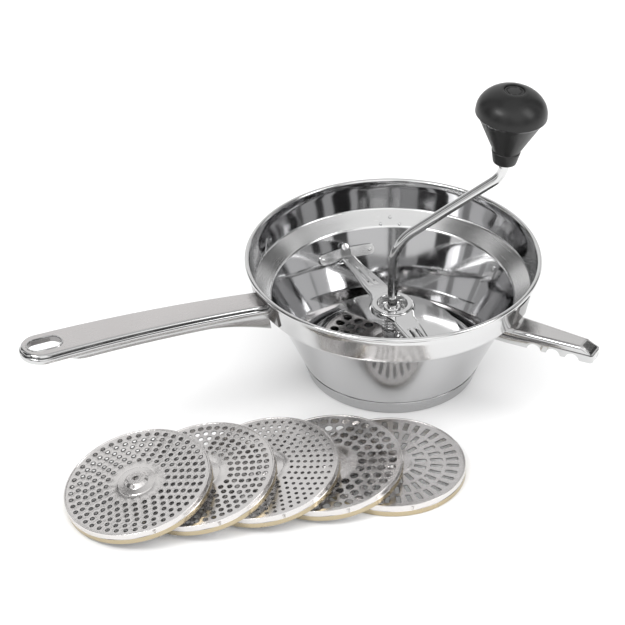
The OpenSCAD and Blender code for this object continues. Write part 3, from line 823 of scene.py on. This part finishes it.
def clip(turn):
    """A folded clip: a foot under the arm's tip, a face over the strip and a round tab above it."""
    fold = rounded([(BAR_TIP - 6, 0, 0), (STRIP_R - 1.0, 0, 1.6), (STRIP_R + 2.9, 8.4, 0.5)], 6)
    left, right = sheet_outline(fold, 1.1)
    z0 = STRIP_Z - 0.75
    front, back = spread(left, 1.5), spread(right, 1.5)
    n = min(len(front), len(back))
    cols = 9
    verts = [(p.x, 4.4 * (2 * j / (cols - 1) - 1), z0 + p.y)
             for p in front[:n] + back[:n] for j in range(cols)]
    shape = (verts, grid_solid(n, cols), 0, turned(turn))
    tab = rounded([(0, -0.6, 0), (3.1, -0.6, 0.3), (3.1, 0.5, 0.4), (0, 0.6, 0)], 4)
    middle = Matrix.Translation((STRIP_R + 2.2, 0.4, STRIP_Z + STRIP_H + 2.2))
    at = middle @ Matrix.Rotation(math.radians(-55), 4, "Y")
    return shape, (*lathe(tab, 48), turned(turn) @ at)


def strips_and_clips():
    for side, turn in (("rear", BAR_TURN), ("front", BAR_TURN + 180)):
        shape, pins = strip(turn)
        whole = Shape().add(*shape)
        for pin in pins:
            whole.add(*pin)
        whole.piece(f"strip_{side}", "crossbar_unit", [f"wall_spring_{side}"], "spring_steel",
                    [SPRING], crease=40)
        shape, tab = clip(turn)
        Shape().add(*shape).add(*tab).piece(
            f"clip_{side}", "crossbar_unit", [f"spring_clip_{side}"], "spring_steel", [SPRING], crease=40)


# ---------------------------------------------------------------- handle and hook
HANDLE_TURN = 205
HANDLE_REACH = 320.0
HANDLE_FLAT = 295.0
HANDLE_TOP = high("handle_shell").z
HANDLE_DROP = 10.0
HANDLE_MID = HANDLE_REACH - 17
SLOT = (HANDLE_REACH - 20, 0, 13.5, 7.5, 7.5)    # middle, turn, half length, half width, corner
LINER_END = HANDLE_REACH - 34


def top_at(x):
    return HANDLE_TOP - HANDLE_DROP * (max(0, HANDLE_FLAT - x) / (HANDLE_FLAT - 119)) ** 2


def skirt_at(x):
    return 8.4 * (max(0, 168 - x) / (168 - 119)) ** 1.6


def half_at(x):
    return (26 + 8 * (min(x, HANDLE_MID) - 119) / (HANDLE_FLAT - 119)) / 2


def band_r(z):
    """The outside radius of the bowl's upper band."""
    share = (z - BAND_LOW[1]) / (BAND_TOP[1] - BAND_LOW[1])
    return BAND_LOW[0] + SHEET_T / 2 + (BAND_TOP[0] - BAND_LOW[0]) * share


def handle_row(inset, depth, middle, sides=44, arc=20):
    """One line round the handle, from the root along one side, round the tip and back to the root."""
    z_root = top_at(119) - depth(119)
    y_root = half_at(117) - inset
    root = math.sqrt((band_r(z_root) + 1.6) ** 2 - y_root ** 2)
    xs = [root + (middle - root) * i / sides for i in range(sides)]
    points = [(x, half_at(x) - inset) for x in xs]
    tip = half_at(middle) - inset
    points += [(middle + tip * math.sin(math.pi * k / arc), tip * math.cos(math.pi * k / arc))
               for k in range(arc + 1)]
    points += [(x, inset - half_at(x)) for x in reversed(xs)]
    return [Vector((x, y, top_at(x) - depth(x))) for x, y in points]


def skin(rows):
    """Joins rows of equal length into a strip that is open at both ends."""
    count = len(rows[0])
    faces = [[r * count + i, r * count + i + 1, (r + 1) * count + i + 1, (r + 1) * count + i]
             for r in range(len(rows) - 1) for i in range(count - 1)]
    return [p for row in rows for p in row], faces


def bridge(base, count):
    """Closes a row onto itself, from one side of the handle to the other."""
    return [[base + i, base + i + 1, base + count - 2 - i, base + count - 1 - i]
            for i in range(count // 2)]


def root_cap(rows, count):
    return [[r * count, (r + 1) * count, (r + 2) * count - 1, (r + 1) * count - 1] for r in range(rows - 1)]


def slot_loop(grow, depth):
    return [Vector((*p, top_at(p.x) - depth)) for p in opening(*SLOT, grow, 8)]


def pierced_top(row, grow, depth):
    """The top or the ceiling of the handle, from a row to the loop round the hanging slot."""
    loop = slot_loop(grow, depth)
    count = len(row)
    across = [(i, count - 1 - i) for i in range(1, count // 2) if row[i].x < SLOT[0] - SLOT[2] - 4]
    flat, faces = flat_web([[p.xy for p in row], [p.xy for p in loop]], across)
    return list(row) + loop, [list(f) for f in faces]


def fixed(depth):
    """A depth that is the same all along a row."""
    return lambda x: depth


def handle():
    satin_rows = [(4.2, 0.0), (3.3, 0.08)]
    bright = [(3.3, 0.08), (2.6, 0.3), (1.9, 0.75), (1.3, 1.4), (1.05, 2.1), (1.5, 2.5), (1.5, 2.9),
              (0.8, 3.2), (0.25, 3.8), (0, 4.8), (0, 6.6), (0.3, 7.5), (1.0, 8.0), (2.2, 8.0), (2.5, 7.4),
              (2.6, 2.6), (3.6, 1.5)]
    shape = Shape()
    verts, faces = skin([handle_row(i, fixed(d), HANDLE_MID) for i, d in satin_rows])
    shape.add(verts, faces, 1)
    rows = [handle_row(i, fixed(d), HANDLE_MID) for i, d in bright]
    verts, faces = skin(rows)
    per_row = len(faces) // (len(rows) - 1)
    # Painted shade: the faces after rows 5 and 6, a small step in the handle's side, take the near-black
    # material (index 2).
    shape.add(verts, faces, [2 if k // per_row in (5, 6) else 0 for k in range(len(faces))])
    shape.add(*pierced_top(handle_row(4.2, fixed(0), HANDLE_MID), 1.6, 0), 1)
    shape.add(*pierced_top(rows[-1], 1.2, 1.5), 0)
    lip = [(1.6, 0), (1.3, -0.4), (0.8, -0.55), (0.3, -0.4), (0.05, 0), (0, 0.8), (0, 4.6), (0.3, 5.0),
           (0.9, 5.0), (1.2, 4.6), (1.2, 1.5)]
    loops = [slot_loop(grow, depth) for grow, depth in lip]
    count = len(loops[0])
    # Painted shade: the slot's inner wall, lip steps 4 to 6, takes the dark grey material (index 3).
    shape.add([p for l in loops for p in l],
              [f for k in range(len(lip) - 1) for f in band_between(k * count, (k + 1) * count, count)],
              [3 if 4 <= k < 7 else 0 for k in range(len(lip) - 1) for _ in range(count)])
    all_rows = [handle_row(i, fixed(d), HANDLE_MID) for i, d in satin_rows[:1] + bright]
    ends = [p for row in all_rows for p in (row[0], row[-1])]
    shape.add(ends, [[2 * k, 2 * k + 1, 2 * k + 3, 2 * k + 2] for k in range(len(all_rows) - 1)], 0)
    shape.placed(turned(HANDLE_TURN)).piece("handle_skin", "mill", ["handle_shell"], "satin_steel",
                                            [POLISHED, SATIN, PAINTED_SHADE_BLACK, PAINTED_SHADE_GREY], crease=30)

    middle = LINER_END - 14
    low_rows = [(2.2, fixed(1.6)), (1.5, fixed(2.2)), (1.5, fixed(8.3)), (1.25, lambda x: 8.9),
                (1.2, lambda x: 11.4 + skirt_at(x)), (1.6, lambda x: 12.3 + skirt_at(x)),
                (2.6, lambda x: 12.6 + skirt_at(x)), (4.2, lambda x: 12.3 + skirt_at(x))]
    rows = [handle_row(i, d, middle) for i, d in low_rows]
    verts, faces = skin(rows)
    count = len(rows[0])
    faces += bridge(0, count) + bridge((len(rows) - 1) * count, count) + root_cap(len(rows), count)
    Shape().add(verts, faces).placed(turned(HANDLE_TURN)).piece(
        "handle_channel", "mill", ["handle_liner"], "satin_steel", [CHANNEL], crease=35)


HOOK_TURN = -28
HOOK_REACH = 180.0
HOOK_Z = high("rest_hook").z
HOOK_DEPTH = 13.5
HOOK_EDGE = 5.4                                  # depth of the groove under the hook's upper edge


def wall_at(z):
    """The outside radius of the bowl under its band."""
    t = SHEET_T / 2 + 0.4
    if z > LEDGE_IN[1]:
        share = (z - LEDGE_IN[1]) / (BAND_LOW[1] - LEDGE_IN[1])
        return LEDGE_IN[0] + share * (BAND_LOW[0] - LEDGE_IN[0]) + 1.8 * t
    return FOOT_TOP_R - 0.7 + CONE_SLOPE * (z - FLOOR_Z) + 1.3 * t


def hook_half(x):
    return 12 - 4.5 * max(0, x - 110) / (HOOK_REACH - 112)


def lobe_depth(x):
    """How far the hook's side hangs down: three lobes between round notches."""
    cut = 0
    for k in range(3):
        away = abs(x - (HOOK_REACH - 17 - 16 * k))
        if away < 6:
            cut = max(cut, math.sqrt(36 - away ** 2) - 1)
    return HOOK_DEPTH - cut


def end_slope(x):
    """The top's fall towards the tip, which makes a slanting end face."""
    return 0.6 * max(0, x - HOOK_REACH + 10)


def hook_row(inset, depth, sides=120):
    z_root = HOOK_Z - depth(104)
    root = math.sqrt(wall_at(z_root) ** 2 - (12 - inset) ** 2)
    end = HOOK_REACH - 1.6 * inset
    xs = [root + (end - 2 - root) * i / sides for i in range(sides + 1)]
    points = [(x, hook_half(x) - inset) for x in xs]
    tip = hook_half(end) - inset
    points += [(end - 2 + 2 * math.sin(a), tip - 2 + 2 * math.cos(a))
               for a in (math.radians(d) for d in (30, 60, 90))]
    points += [(x, -y) for x, y in reversed(points)]
    return [Vector((x, y, HOOK_Z - depth(x) - end_slope(x) * max(0, 1 - depth(x) / HOOK_EDGE)))
            for x, y in points]


def hook():
    rows = [(4.2, fixed(0)), (3.0, fixed(0.05)), (1.9, fixed(0.4)), (0.9, fixed(1.1)), (0.25, fixed(2)),
            (0, fixed(3)), (0, fixed(HOOK_EDGE)), (0.45, fixed(HOOK_EDGE + 0.4)),
            (0.45, fixed(HOOK_EDGE + 0.9)), (0, fixed(HOOK_EDGE + 1.3)),
            (0, lambda x: lobe_depth(x) - 0.8), (0.25, lambda x: lobe_depth(x) - 0.2), (0.8, lobe_depth),
            (1.3, lambda x: lobe_depth(x) - 0.2), (1.5, lambda x: lobe_depth(x) - 0.8), (1.5, fixed(2.6)),
            (2.6, fixed(1.5))]
    points = [hook_row(i, d) for i, d in rows]
    verts, faces = skin(points)
    count = len(points[0])
    # Painted shade: rows 6 to 8, the groove under the upper edge, take the near-black material (index 2).
    kinds = [1 if row < 2 else 2 if row in (6, 7, 8) else 0
             for row in (k // (count - 1) for k in range(len(faces)))]
    top, ceiling = bridge(0, count), bridge((len(rows) - 1) * count, count)
    ends = root_cap(len(rows), count)
    kinds += [1] * len(top) + [0] * (len(ceiling) + len(ends))
    Shape().add(verts, faces + top + ceiling + ends, kinds).placed(turned(HOOK_TURN)).piece(
        "hook_skin", "mill", ["rest_hook"], "polished_steel", [POLISHED, HOOK_TOP, PAINTED_SHADE_BLACK], crease=35)


def finish_nodes():
    """Materials for the CAD nodes whose own shape is shown."""
    # Painted shade: the brackets take the dark grey material.
    for names, material in ((["handle_bracket", "hook_bracket"], PAINTED_SHADE_GREY),
                            (["upper_washer", "lower_washer", "clip_rivet_rear",
                              "clip_rivet_front", "stop_pin", "knob_push_nut"], SPRING)):
        for name in names:
            for slot in frame["nodes"][name].material_slots:
                slot.material = material


discs()
rod()
knob()
blade()
shaft_parts()
coil()
crossbar()
strips_and_clips()
handle()
hook()
finish_nodes()


# ---------------------------------------------------------------- stand, light
def add_floor():
    bpy.ops.mesh.primitive_plane_add(size=8, location=(0, 0, -0.0002))
    floor = bpy.context.active_object
    floor.name = "floor"
    n = Nodes("floor_white")
    n.put(n.mix(n.noise(n.coords, 3.0, 2.0), (0.86, 0.86, 0.86, 1), (0.88, 0.88, 0.88, 1)),
          n.shader.inputs["Base Color"])
    n.shader.inputs["Roughness"].default_value = 0.6
    floor.data.materials.append(n.material)


def add_light(name, where, aim, size, power, size_y=None):
    data = bpy.data.lights.new(name, "AREA")
    data.energy = power
    data.size = size
    if size_y:
        data.shape = "RECTANGLE"
        data.size_y = size_y
    light = bpy.data.objects.new(name, data)
    light.location = where
    light.rotation_euler = (Vector(aim) - Vector(where)).to_track_quat("-Z", "Y").to_euler()
    bpy.context.scene.collection.objects.link(light)


def add_sky_light(turn, height, angle, strength):
    """A broad soft source overhead that lights the floor evenly."""
    data = bpy.data.lights.new("broad", "SUN")
    data.energy = strength
    data.angle = math.radians(angle)
    light = bpy.data.objects.new("broad", data)
    light.rotation_euler = (0, math.radians(90 - height), math.radians(turn))
    bpy.context.scene.collection.objects.link(light)


# Dark stands between the white screens of the studio: direction, half width, lowest and highest
# elevation in degrees, and how dark. They only show as reflections in the polished steel.
STANDS = [(62, 20, 14, 54, 0.22), (112, 16, 22, 56, 0.1), (180, 16, 6, 74, 0.95), (0, 16, 6, 74, 0.95),
          (222, 7, 0, 62, 0.9), (318, 7, 0, 62, 0.9), (262, 6, 0, 40, 0.75), (143, 9, 0, 64, 0.93),
          (37, 9, 0, 64, 0.93)]


def add_world():
    world = bpy.data.worlds.new("studio")
    bpy.context.scene.world = world
    world.use_nodes = True
    tree = world.node_tree

    def math_node(operation, a, b=0.0):
        node = tree.nodes.new("ShaderNodeMath")
        node.operation = operation
        for value, socket in zip((a, b), node.inputs):
            if isinstance(value, bpy.types.NodeSocket):
                tree.links.new(value, socket)
            else:
                socket.default_value = value
        return node.outputs[0]

    def step_up(value, a, b):
        node = tree.nodes.new("ShaderNodeMapRange")
        node.interpolation_type = "SMOOTHSTEP"
        tree.links.new(value, node.inputs["Value"])
        node.inputs["From Min"].default_value = a
        node.inputs["From Max"].default_value = b
        return node.outputs[0]

    where = tree.nodes.new("ShaderNodeTexCoord").outputs["Generated"]
    split = tree.nodes.new("ShaderNodeSeparateXYZ")
    tree.links.new(where, split.inputs[0])
    x, y, z = split.outputs
    flat = math_node("SQRT", math_node("ADD", math_node("MULTIPLY", x, x), math_node("MULTIPLY", y, y)))
    flat = math_node("MAXIMUM", flat, 0.001)
    light = math_node("SUBTRACT", 1.0, math_node("MULTIPLY", step_up(z, 0.80, 0.95), 0.55))
    horizon = math_node("ADD", 0.72, math_node("MULTIPLY", step_up(z, 0.0, 0.25), 0.28))
    light = math_node("MULTIPLY", light, horizon)
    for turn, half, below, above, dark in STANDS:
        t = math.radians(turn)
        along = math_node("ADD", math_node("MULTIPLY", x, math.cos(t)),
                          math_node("MULTIPLY", y, math.sin(t)))
        near = step_up(math_node("DIVIDE", along, flat), math.cos(math.radians(half + 1.5)),
                       math.cos(math.radians(max(half - 1.5, 0.5))))
        over = step_up(z, math.sin(math.radians(below - 1)), math.sin(math.radians(below + 1)))
        beyond = step_up(z, math.sin(math.radians(above - 1)), math.sin(math.radians(above + 1)))
        under = math_node("SUBTRACT", 1.0, beyond)
        cover = math_node("MULTIPLY", math_node("MULTIPLY", near, over), math_node("MULTIPLY", under, dark))
        light = math_node("MULTIPLY", light, math_node("SUBTRACT", 1.0, cover))
    path = tree.nodes.new("ShaderNodeLightPath")
    light = math_node("ADD", light, math_node("MULTIPLY", path.outputs["Is Diffuse Ray"], 0.55))
    light = math_node("MAXIMUM", light, path.outputs["Is Camera Ray"])
    background = tree.nodes["Background"]
    background.inputs["Color"].default_value = (1, 1, 1, 1)
    tree.links.new(light, background.inputs["Strength"])


add_floor()
add_world()
add_sky_light(-60, 62, 80, 0.7)
add_light("key", (-0.9, -0.7, 1.5), (0, 0, 0.05), 0.7, 9, 0.35)
add_light("fill", (1.2, -0.4, 1.1), (0, 0, 0.05), 0.5, 5, 0.9)
bpy.context.scene.view_settings.view_transform = "Standard"
